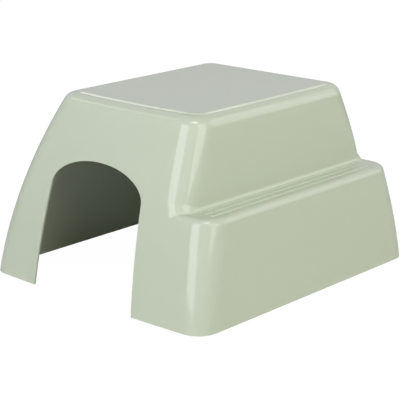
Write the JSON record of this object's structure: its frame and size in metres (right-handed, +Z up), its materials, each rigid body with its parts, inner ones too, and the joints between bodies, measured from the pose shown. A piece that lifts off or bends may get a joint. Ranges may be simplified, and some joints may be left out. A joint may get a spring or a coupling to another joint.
{
  "type": "rabbit house",
  "caption": "Moulded plastic rabbit house with leaning bowed walls, an arched door in the front, a ribbed step on one side and a flat raised roof panel.",
  "frame": {"origin": "middle of the house's footprint, on the floor it stands on", "axes": "+Z up; the door faces -Y; the step is on the +X side"},
  "size_m": [0.38, 0.4274, 0.244],
  "materials": {
    "shell": "smooth glossy moulded plastic, pale grey green"
  },
  "bodies": {
    "root": {"house_shell": "shell"}
  },
  "joints": []
}
